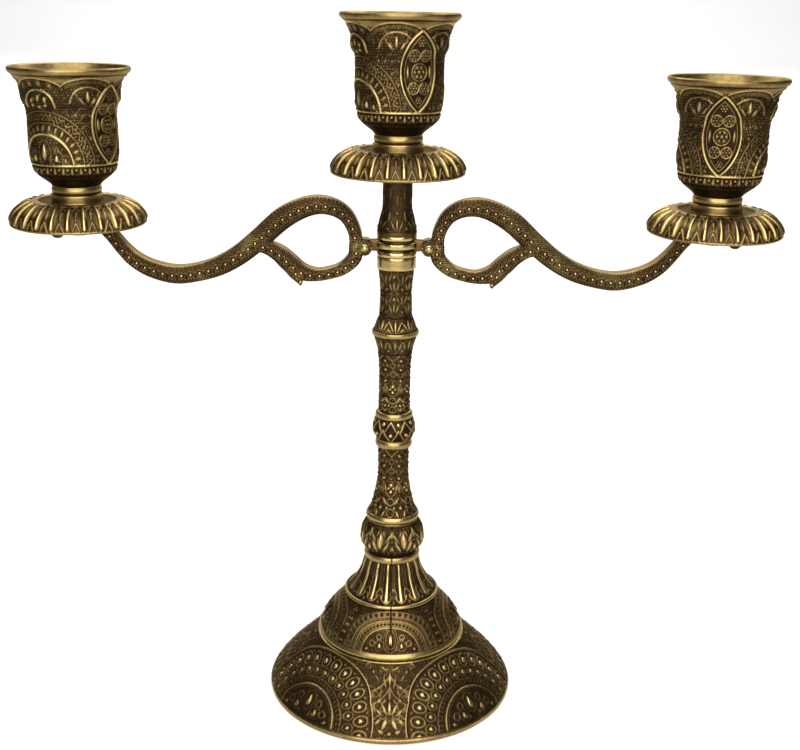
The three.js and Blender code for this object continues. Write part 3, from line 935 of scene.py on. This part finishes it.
def soft_path(stations, spacing):
    """Evenly spaced points (x, z, half height) on a smooth curve through the stations."""
    points = np.array(stations, float)
    padded = np.vstack([2 * points[0] - points[1], points, 2 * points[-1] - points[-2]])
    fine = []
    for i in range(1, len(padded) - 2):
        before, start, end, after = padded[i - 1], padded[i], padded[i + 1], padded[i + 2]
        for t in np.arange(0, 1, 0.02):
            fine.append(0.5 * (
                2 * start + (end - before) * t
                + (2 * before - 5 * start + 4 * end - after) * t**2
                + (3 * start - before - 3 * end + after) * t**3
            ))
    fine.append(points[-1])
    fine = np.array(fine)
    far = np.concatenate([[0], np.cumsum(np.hypot(*np.diff(fine[:, :2], axis=0).T))])
    places = np.linspace(0, far[-1], max(4, round(far[-1] / spacing)))
    return np.column_stack([np.interp(places, far, fine[:, k]) for k in range(3)]), places


def even_out(run, path, count):
    """The same path at that many even places."""
    places = np.linspace(0, run[-1], count)
    return places, np.column_stack([np.interp(places, run, path[:, k]) for k in range(3)])


def arm_face_relief(run, across, half):
    """The sunk face of a bar: a low edge, then rows of beads with slanting lines."""
    edge = half - np.abs(across)
    step = BEAD_STEP
    at = fold(run, step, 0)
    outer = across > 0
    sweep = run - 0.42 * across**2
    inner = most(
        spot(at, across + 0.2, 0.62, 0.62),
        hoop(at, across + 0.2, 1.15, 0.26, 0.3),
        ridge(fold(sweep, step / 3, 0.4), 0.26, 0.36) * (outer & (across > 0.9)),
        spot(fold(run, step / 3, 0), across + 1.7, 0.42, 0.36),
        spot(fold(run, step / 3, step / 6), across + 2.5, 0.36, 0.3),
        spot(fold(run, step, step / 2), across - 0.5, 0.45, 0.4),
    )
    return np.where(edge < 0.36, 0.26, inner) - 0.28


def bar(bm, stations, mirror, spacing, detail, low=0.0):
    """Adds one bar of an arm: a straight rounded box first, then bent along its path."""
    path, run = soft_path(stations, spacing)
    whole = 2**DOUBLINGS * math.ceil((len(run) - 1) / 2**DOUBLINGS) + 1
    run, path = even_out(run, path, whole)
    slope = np.gradient(path[:, :2], axis=0)
    slope /= np.hypot(slope[:, 0], slope[:, 1])[:, None]
    corner = 0.16
    half_side = [(-1, k) for k in np.linspace(-1 + corner, 1 - corner, detail)]
    over = [(k, 1) for k in np.linspace(-1 + corner, 1 - corner, 8)]
    section = half_side + over + [(1, -k) for _, k in half_side] + [(-k, -1) for k, _ in over]
    first = [bm.verts.new((0, y, z)) for y, z in section]
    edges = [bm.edges.new((first[i - 1], first[i])) for i in range(len(first))]
    steps = math.ceil((len(run) - 1) / 2**DOUBLINGS)
    before = set(bm.verts) - set(first)
    bmesh.ops.spin(
        bm, geom=first + edges, cent=(0, 0, 0), axis=(0, 0, 1), dvec=(1, 0, 0), angle=0,
        steps=steps,
    )
    for k in range(DOUBLINGS):
        made = [v for v in bm.verts if v not in before]
        faces = {f for v in made for f in v.link_faces}
        rims = {e for v in made for e in v.link_edges}
        copied = bmesh.ops.duplicate(bm, geom=made + list(rims) + list(faces))["geom"]
        moved = [part for part in copied if isinstance(part, bmesh.types.BMVert)]
        bmesh.ops.translate(bm, vec=(steps * 2**k, 0, 0), verts=moved)
    made = [v for v in bm.verts if v not in before]
    bmesh.ops.remove_doubles(bm, verts=made, dist=0.001)
    made = [v for v in bm.verts if v not in before]
    flat = np.array([v.co for v in made])
    station = np.clip(np.round(flat[:, 0]).astype(int), 0, len(run) - 1)
    half = path[station, 2] * ARM_SWELL
    across = flat[:, 2] * half
    face = np.abs(flat[:, 1]) > 0.999
    raised = arm_face_relief(run[station], across, half)
    depth = flat[:, 1] * (ARM_HALF_DEPTH - low) + np.where(face, np.sign(flat[:, 1]) * raised, 0)
    x = path[station, 0] - slope[station, 1] * across
    z = path[station, 1] + slope[station, 0] * across
    rub = np.where(face, rubbed_share(raised), SIDE_RUB)
    layer = bm.verts.layers.float["relief"]
    for vertex, px, py, pz, shine in zip(made, x, depth, z, rub):
        vertex.co = (mirror * px * MM, py * MM, pz * MM)
        vertex[layer] = min(1.0, max(0.0, shine))
    rims = [e for e in bm.edges if e.is_boundary]
    bmesh.ops.holes_fill(bm, edges=rims, sides=0)


for mirror, side in ((-1, "left"), (1, "right")):
    bm = bmesh.new()
    bm.verts.layers.float.new("relief")
    bar(bm, MAIN_BAR, mirror, 0.24, 30)
    bar(bm, LOWER_BAR, mirror, 0.24, 24, 0.12)
    bar(bm, LEAF_TIP, mirror, 0.24, 16, 0.26)
    bar(bm, LUG, mirror, 0.3, 22, 0.18)
    tip_x = mirror * TIP_REACH * MM
    tip = [bm.verts.new((tip_x + r * MM, 0, z * MM)) for r, z in smooth_outline(TIP_KNOB, 0.3)]
    # Painted shade: the end knob, under its pan, is set dark rather than rubbed bright.
    for vertex in tip:
        vertex[bm.verts.layers.float["relief"]] = TIP_PAINTED_SHADE
    edges = [bm.edges.new((tip[i - 1], tip[i])) for i in range(1, len(tip))]
    bmesh.ops.spin(
        bm, geom=tip + edges, cent=(tip_x, 0, 0), axis=(0, 0, 1), angle=math.tau, steps=48
    )
    knob = [v for v in bm.verts if math.hypot(v.co.x - tip_x, v.co.y) < TIP_WIDEST * MM]
    bmesh.ops.remove_doubles(bm, verts=knob, dist=1e-7)
    bmesh.ops.recalc_face_normals(bm, faces=bm.faces)
    arm = add_mesh("arm_scroll_" + side, bm)
    finish_piece(arm, "antique_brass", "arm_frame", "arm_" + side)


# --- Drip pans ---
# Three like castings, hollow underneath: a domed rim of narrow petals with a small arch
# between each pair, a well round the middle, and a plain turned boss for the cup.

PAN_RIBS = 26
PAN_TURN = math.radians(5)
WELL_EDGE = 13.4
BOSS_EDGE = 9.05
PAN_OUTER = [
    (22.2, -0.5), (23.1, -0.5), (23.55, -0.25), (23.75, 0.25), (23.7, 1.2), (23.2, 2.8),
    (21.4, 5.2), (18.2, 7.3), (14.6, 8.3), (13.6, 8.1), (12.4, 7.5), (9.9, 6.9), (9.3, 6.9),
    (8.95, 7.4), (8.9, 10.0), (8.6, 10.3),
]
PAN_HIDDEN = [(BORE, 10.3), (BORE, 1.7), (8.4, 1.7), (9, 5), (15.4, 5.8), (19.6, 3.8)]


def pan_relief(angle, radius, along, height):
    """Relief of a drip pan; height is above its widest line."""
    pitch = math.tau / PAN_RIBS
    u = fold(angle, pitch, PAN_TURN) * radius
    gap = np.abs(fold(angle, pitch, PAN_TURN + pitch / 2)) * radius
    v = along - 2.1
    width = 0.50 + 0.45 * np.clip(1 - v / 9, 0, 1) * np.clip(v / 1.5, 0, 1)
    rib = ridge(u, width, 0.85) * np.clip(v / 0.8, 0, 1)
    arch = most(
        stroke(gap, v, (0.0, 3.6), (1.3, 0.2), 0.28, 0.46),
        leaf(gap, v, 0.0, 7.0, 5.8, 0.5, 0, 0.42),
        hoop(gap, v - 9.6, 0.9, 0.28, 0.34) * (v > 9.2),
    )
    side = ridge(u, 1.15, 0.26) * (v > 1.0)
    field = most(rib, arch, side) - 0.42
    carved = (v > 0) & (height > 0.3) & (v < 11.4) & (radius > WELL_EDGE)
    well = (radius <= WELL_EDGE) & (radius > 9.2) & (height > 6)
    return np.where(carved, field, np.where(well, -0.05, 0.0))


def pan_tint(angle, radius, along, raised):
    """Rubbed on the petals and the boss, dark down in the well."""
    rubbed = raised * 0.72 + 0.66
    well = (radius <= WELL_EDGE) & (radius > BOSS_EDGE)
    boss = radius <= BOSS_EDGE
    plain = (along < 2.1) & (radius > 20)
    rubbed = np.where(well, 0.06, rubbed)
    rubbed = np.where(boss, 0.8, rubbed)
    return np.where(plain, 0.74, rubbed)


# Side, distance from the stem, and the height of the pan's widest line.
SEATS = [("left", -113.0, 181.6), ("centre", 0.0, 201.0), ("right", 113.0, 181.6)]


def pan_at(level):
    """The outline of a pan with its widest line at that height, in mm."""
    shown = [(r, z + level) for r, z in PAN_OUTER]
    hidden = [(r, z + level) for r, z in PAN_HIDDEN]
    return hidden, shown


def move_piece(piece, x):
    """Puts a finished turning over its own axis, in the mesh."""
    piece.data.transform(Matrix.Translation((x * MM, 0, 0)))


for side, x, level in SEATS:
    hidden, shown = pan_at(level)

    def level_relief(angle, radius, along, height, level=level):
        return pan_relief(angle, radius, along, height - level)

    pan = turned_casting(
        "drip_pan_petals_" + side, hidden, shown, 560, 0.3, level_relief, pan_tint
    )
    move_piece(pan, x)
    body = "stand" if side == "centre" else "arm_frame"
    finish_piece(pan, "antique_brass", body, "drip_pan_" + side)


# --- Candle cups ---
# Three castings from one two-part mould, each screwed down on its pan: a bell cup with a
# flared plain lip, two pointed ovals of rosettes, two half medallions, and six shallow
# arches hanging from the lip. Inside is a plain bored socket for the candle.

CUP_OUTER = [
    (8.4, 0), (8.65, 0.5), (8.65, 1.7), (8.3, 2.4), (9.3, 3.6), (12, 5.7), (13.9, 7.7),
    (14.8, 11.6), (15.2, 14), (15.3, 27.2), (15.8, 29.4), (16.6, 31.2), (17, 34.8), (17.6, 37.2),
    (18.8, 39.0), (20.0, 39.9), (20.7, 40.8), (20.8, 41.6), (20.3, 42.2), (19.5, 42), (17.8, 39.5),
    (15.4, 36.7), (13.2, 34.7), (12.3, 33.3),
]
CUP_HIDDEN = [(12.3, 30), (12.3, 20), (12.3, 9.3), (12.0, 9), (BORE - 0.5, 9), (BORE - 0.5, 0)]
CUP_STRETCH = 1.03
CUP_PATTERN_RADIUS = 15.2
OVAL_MIDDLE = 23.9
OVAL_ARC = 16.2
OVAL_SHIFT = 9.7
BASE_LINE = 10.8
SKIRT_RADIUS = 14.6
MOUTH_RUN = 54.5


def rosette(u, v, at_u, at_v, radius, wire):
    """Seven dots, inside a wire ring where one is asked for."""
    far = np.hypot(u - at_u, v - at_v)
    turn = np.arctan2(v - at_v, u - at_u)
    petal = np.hypot(fold(turn, math.tau / 6, 0) * radius * 0.6, far - radius * 0.56)
    dots = most(ridge(far, radius * 0.27, 0.5), ridge(petal, radius * 0.27, 0.46))
    return most(dots, ridge(far - radius, 0.3, 0.5)) if wire else dots


def oval_of_rosettes(u, v):
    """The pointed oval and what it holds; u is measured one way from its upright axis."""
    edge = np.hypot(u + OVAL_SHIFT, v - OVAL_MIDDLE)
    inside = edge < OVAL_ARC - 1.4
    return most(
        ridge(edge - OVAL_ARC, 0.52, 0.62),
        ridge(edge - (OVAL_ARC - 1.3), 0.3, 0.4),
        within(inside, most(
            rosette(u, v, 0, OVAL_MIDDLE, 2.75, True),
            ring(u, v, 0, OVAL_MIDDLE, 1.95, 0.24, 0.34),
            leaf(u, v, 4.15, OVAL_MIDDLE, 5.0, 0.62, 0, 0.55),
            rosette(u, v, 2.0, 29.0, 1.8, True),
            rosette(u, v, 2.0, 18.8, 1.8, True),
            rosette(u, v, 0, 33.0, 1.55, False),
            rosette(u, v, 0, 14.9, 1.55, False),
        )),
    ), edge


def cup_medallion(w, v):
    """The half medallion on the base line; w is measured one way from its axis."""
    far = np.hypot(w, v)
    turn = np.degrees(np.arctan2(v, w))
    pitch = 11.25
    at = np.radians(fold(turn, pitch, 0)) * far
    off = np.radians(fold(turn, pitch, pitch / 2)) * far
    saw = np.abs(fold(turn, pitch, 0)) / (pitch / 2)
    petals = within((far > 10.9) & (far < 14.0), most(
        spot(at * 1.15, (far - 12.3) * 0.62, 0.85, 0.5),
        ridge(off, 0.2, 0.24),
    ))
    zigzag = within((far > 14.3) & (far < 17.5), most(
        ridge(far - 15.0 - 1.9 * saw, 0.42, 0.42),
        spot(at, far - 16.6, 0.5, 0.45),
        spot(off, far - 15.1, 0.45, 0.4),
    ))
    heart = most(
        motif(w, v, [
            (drop, 0, 4.6, 6.4, 0.85, 0, 0.7), (leaf, 2.0, 2.6, 4.2, 0.45, 8, 0.35),
            (drop, 4.6, 2.4, 2.9, 0.85, 0, 0.7), (ring, 4.6, 5.1, 0.8, 0.3, 0.36),
            (drop, 7.7, 1.8, 2.0, 0.65, -8, 0.55), (ring, 7.6, 2.2, 1.4, 0.26, 0.3),
            (bead, 2.5, 7.6, 0.5, 0.4), (bead, 6.6, 5.4, 0.5, 0.4), (bead, 1.3, 8.9, 0.4, 0.34),
        ]),
        hoop(w * 1.9, v - 3.9, 4.6, 0.32, 0.4),
        hoop((w - 4.6) * 1.35, v - 2.2, 2.9, 0.3, 0.38),
    )
    return most(
        ridge(far - 10.4, 0.56, 0.64),
        ridge(far - 14.1, 0.32, 0.45),
        ridge(far - 17.7, 0.32, 0.4),
        petals,
        zigzag,
        within(far < 9.7, heart),
    ), far


def lip_arches(angle, v):
    """The six arches under the lip, by turns with a row of flowers and with a tulip."""
    pitch = math.tau / 6
    share = np.abs(fold(angle, pitch, pitch / 2)) / (pitch / 2)
    scallop = 36.5 + 2.7 * np.clip(1 - share**2, 0, 1) ** 0.7
    side = fold(angle, pitch, pitch / 2) * 16.4
    w = np.abs(side)
    in_flowers = np.abs(fold(angle, math.pi, math.pi / 2)) < pitch / 2
    flower = fold(angle, math.radians(12.5), math.pi / 2) * 17.4
    drop_v = v - (scallop - 1.75)
    star = np.maximum(np.abs(flower), np.abs(drop_v))
    blossoms = within(in_flowers, most(
        ridge(star, 1.05, 0.42) * (w < 7.4),
        spot(flower, drop_v, 0.42, 0.62) * (w < 7.4),
        hoop(w * 0.93, v - 29.9, 5.6, 0.42, 0.6),
        drop(w, 66.0 - v, 0, 33.3, 3.0, 0.75, 0, 0.62),
        drop(w, 66.0 - v, 2.7, 33.9, 2.7, 0.7, 18, 0.6),
        motif(w, v, [
            (bead, 0, 29.9, 0.72, 0.6), (bead, 2.7, 30.4, 0.72, 0.6),
            (ring, 1.4, 27.0, 1.2, 0.25, 0.3),
        ]),
    ))
    blocks = np.abs(fold(angle, math.radians(6), 0)) * 17
    tulip = within(~in_flowers, most(
        within(np.abs(v - scallop + 1.3) < 0.6, ridge(blocks - 0.45, 0.5, 0.34)) * (w < 7.4),
        hoop(w * 0.86, v - 31.2, 5.1, 0.36, 0.5) * (v > 31),
        motif(w, v, [
            (leaf, 0, 33.2, 4.4, 0.8, 0, 0.6), (leaf, 2.1, 31.9, 4.2, 0.62, 38, 0.5),
            (leaf, 3.6, 33.6, 3.0, 0.5, 12, 0.4), (bead, 0, 29.0, 0.7, 0.5),
            (bead, 2.0, 29.4, 0.5, 0.36), (bead, 3.4, 36.0, 0.45, 0.34),
        ]),
    ))
    line = ridge(v - scallop, 0.42, 0.6)
    return most(line, blossoms, tulip), scallop


def cup_relief(angle, radius, along, height):
    """Relief of a candle cup; the angle is from an oval's axis, the height above its foot."""
    near = np.abs(fold(angle, math.pi, 0))
    u = near * CUP_PATTERN_RADIUS
    w = (math.pi / 2 - near) * CUP_PATTERN_RADIUS
    oval, oval_edge = oval_of_rosettes(u, height)
    medal, far = cup_medallion(w, height - BASE_LINE)
    arches, scallop = lip_arches(angle, height)
    fill = grains(angle, height, 104, 0.9, 0.42)
    scatter = fold(angle, math.tau / 40, 0) * CUP_PATTERN_RADIUS
    lattice = most(
        ridge(fold(u * 0.8 + height, 3.4, 0), 0.28, 0.28),
        spot(scatter, fold(height, 3.7, 1.2), 0.5, 0.46),
    )
    field = most(fill, lattice * (far > 18.2), medal * (height > BASE_LINE))
    field = np.where(height > 29.4, most(arches, fill), field)
    field = np.where(oval_edge < OVAL_ARC + 0.7, oval, field)
    below = fold(angle, math.tau / 30, 0) * SKIRT_RADIUS
    under = np.abs(fold(angle, math.tau / 30, math.tau / 60)) * SKIRT_RADIUS
    skirt = most(
        spot(below, height - 9.3, 0.6, 0.5),
        leaf(under, height, 0, 8.6, 3.4, 0.6, 0, 0.5),
        hoop(below, height - 8.9, 1.2, 0.26, 0.26) * (height < 9.6),
        hoop(below, height - 6.9, 0.75, 0.24, 0.24),
    )
    field = np.where(height < BASE_LINE, skirt, field)
    field = most(field, ridge(height - BASE_LINE, 0.5, 0.62)) - 0.3
    outside = along < 47.5
    carved = outside & (height > 6.2) & (height < scallop + 0.25)
    seam = outside & (np.abs(height - 39.7) < 0.22)
    return np.where(carved, field, np.where(seam, -0.15, -0.02))


def cup_tint(angle, radius, along, raised):
    """Rubbed on the relief and the lip, dark on the taper under the body and in the socket."""
    rubbed = (raised + 0.30) / 0.66
    foot = along < 2.6
    taper = (along >= 2.6) & (along < 8.2)
    lip = (radius > 17.9) & (raised > -0.03) & (raised < 0)
    mouth = along > MOUTH_RUN
    rubbed = np.where(taper, 0.30, rubbed)
    rubbed = np.where(foot, 0.80, rubbed)
    rubbed = np.where(lip, 0.66, rubbed)
    return np.where(mouth, np.clip(0.6 - (along - MOUTH_RUN) * 0.06, 0.15, 0.6), rubbed)


def stretched_height(z):
    """The cup body is drawn up a little above its base line."""
    return z if z < BASE_LINE else BASE_LINE + (z - BASE_LINE) * CUP_STRETCH


CUP_FOOT = {"left": 192.2, "centre": 211.6, "right": 192.2}
CUP_TURN = {"left": math.radians(64), "centre": math.radians(26), "right": math.radians(-17)}
for side, x, level in SEATS:
    foot = CUP_FOOT[side]
    turn = CUP_TURN[side]

    def turned_relief(angle, radius, along, height, foot=foot, turn=turn):
        lift = height - foot - BASE_LINE
        lift = np.where(lift > 0, lift / CUP_STRETCH, lift)
        return cup_relief(angle - turn, radius, along, lift + BASE_LINE)

    cup = turned_casting(
        "candle_cup_bowl_" + side,
        [(r, z + foot) for r, z in CUP_HIDDEN],
        [(r, foot + stretched_height(z)) for r, z in CUP_OUTER],
        448, 0.3, turned_relief, cup_tint,
    )
    move_piece(cup, x)
    finish_piece(cup, "antique_brass", "cup_" + side, "candle_cup_" + side)


# --- Rod, nut, washers and screws ---
# Plated steel hardware, seen only from below: the rod that ties the stem together, the
# nut and washer that pull it tight, and a washer and screw under each outer pan.

def zinc_steel(name):
    """Dull zinc-plated steel with faint spangle and a little grime."""
    finish, shader, tone, place = new_finish(name)
    patches = tone.noise(place, 260.0, 3.0)
    fine = tone.noise(place, 1700.0, 3.0)
    colour = (patches * 1.4 - 0.3).clamped().blend((0.30, 0.29, 0.27), (0.56, 0.56, 0.54))
    colour.feed(shader, "Base Color")
    shader.inputs["Metallic"].default_value = 1.0
    rough = 0.32 + fine * 0.22
    rough.feed(shader, "Roughness")
    roughen(shader, fine, 0.15, 0.00005)
    return finish


steel = zinc_steel("zinc_steel")
HARDWARE = [
    "tie_rod", "base_nut", "base_washer", "cup_washer_left", "cup_washer_right",
    "cup_screw_left", "cup_screw_right",
]
for name in HARDWARE:
    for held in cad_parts[name].material_slots:
        held.material = steel


# --- Table, light and camera ---
# A plain pale table top that curves up into a wall, under soft studio light: a wide panel
# in front, one overhead, and two behind that wash the table and the wall white.

FLOOR_SIZE = 40.0
WALL_AWAY = 4.5
WALL_BEND = 1.0
floor_mesh = bmesh.new()
corners = bmesh.ops.create_grid(floor_mesh, x_segments=1, y_segments=1, size=FLOOR_SIZE / 2)
far_side = [v for v in floor_mesh.verts if v.co.y > 0]
bmesh.ops.translate(floor_mesh, vec=(0, WALL_AWAY - FLOOR_SIZE / 2, 0), verts=far_side)
far_edge = [e for e in floor_mesh.edges if all(v in far_side for v in e.verts)]
bent = bmesh.ops.spin(
    floor_mesh, geom=far_side + far_edge, cent=(0, WALL_AWAY, WALL_BEND), axis=(1, 0, 0),
    angle=math.pi / 2, steps=24,
)["geom_last"]
raised_wall = bmesh.ops.extrude_edge_only(
    floor_mesh, edges=[part for part in bent if isinstance(part, bmesh.types.BMEdge)]
)["geom"]
bmesh.ops.translate(
    floor_mesh, vec=(0, 0, 6), verts=[v for v in raised_wall if isinstance(v, bmesh.types.BMVert)]
)
floor = add_mesh("table_top", floor_mesh)
pale, pale_shader, pale_tone, pale_place = new_finish("pale_table")
clouds = pale_tone.noise(pale_place, 3.0, 2.0)
pale_colour = clouds.blend((0.60, 0.60, 0.595), (0.64, 0.64, 0.635))
pale_colour.feed(pale_shader, "Base Color")
pale_shader.inputs["Roughness"].default_value = 0.7
pale_shader.inputs["Specular IOR Level"].default_value = 0.2
floor.data.materials.append(pale)

world = bpy.data.worlds.new("studio")
bpy.context.scene.world = world
world.use_nodes = True
world.node_tree.nodes["Background"].inputs["Color"].default_value = (1.0, 0.985, 0.96, 1)
world.node_tree.nodes["Background"].inputs["Strength"].default_value = 0.15


def soft_panel(name, size, place, aim, power, colour):
    """A rectangular soft light, unseen by the camera."""
    lamp = bpy.data.lights.new(name, "AREA")
    lamp.shape = "RECTANGLE"
    lamp.size = size[0]
    lamp.size_y = size[1]
    lamp.energy = power
    lamp.color = colour
    holder = bpy.data.objects.new(name, lamp)
    holder.location = place
    holder.rotation_euler = (Vector(aim) - Vector(place)).to_track_quat("-Z", "Y").to_euler()
    holder.visible_camera = False
    bpy.context.scene.collection.objects.link(holder)


soft_panel("front_panel", (0.86, 0.95), (0.0, -0.57, 0.50), (0, 0, 0.14), 11.0, (1.0, 0.985, 0.95))
soft_panel("top_panel", (0.8, 0.6), (0.0, -0.1, 1.3), (0, 0, 0.1), 5.5, (1.0, 0.99, 0.97))
soft_panel("floor_wash", (3.0, 1.6), (0.0, 1.5, 1.9), (0, 1.2, 0), 75.0, (1.0, 1.0, 1.0))
soft_panel("back_wash", (5.0, 2.0), (0.0, 3.2, 2.4), (0, 4.3, 0.2), 170.0, (1.0, 1.0, 1.0))
bpy.context.scene.view_settings.view_transform = "Standard"

CAMERA_PLACE = (-0.0004, -0.4241, 0.2611)
CAMERA_PITCH = math.radians(17.64)
CAMERA_YAW = math.radians(-0.32)
CAMERA_ROLL = math.radians(1.0)
SENSOR_WIDTH = 36.0
FOCAL_LENGTH = 54.162
lens = bpy.data.cameras.new("camera")
lens.sensor_width = SENSOR_WIDTH
lens.lens = FOCAL_LENGTH
lens.clip_start = 0.01
lens.clip_end = 100.0
camera = bpy.data.objects.new("camera", lens)
right = Vector((math.cos(CAMERA_YAW), math.sin(CAMERA_YAW), 0))
level = Vector((-math.sin(CAMERA_YAW), math.cos(CAMERA_YAW), 0))
ahead = level * math.cos(CAMERA_PITCH) + Vector((0, 0, -math.sin(CAMERA_PITCH)))
up = level * math.sin(CAMERA_PITCH) + Vector((0, 0, math.cos(CAMERA_PITCH)))
across = right * math.cos(CAMERA_ROLL) + up * math.sin(CAMERA_ROLL)
upright = up * math.cos(CAMERA_ROLL) - right * math.sin(CAMERA_ROLL)
turned = Matrix((across, upright, -ahead)).transposed().to_4x4()
turned.translation = Vector(CAMERA_PLACE)
camera.matrix_world = turned
bpy.context.scene.collection.objects.link(camera)
bpy.context.scene.camera = camera
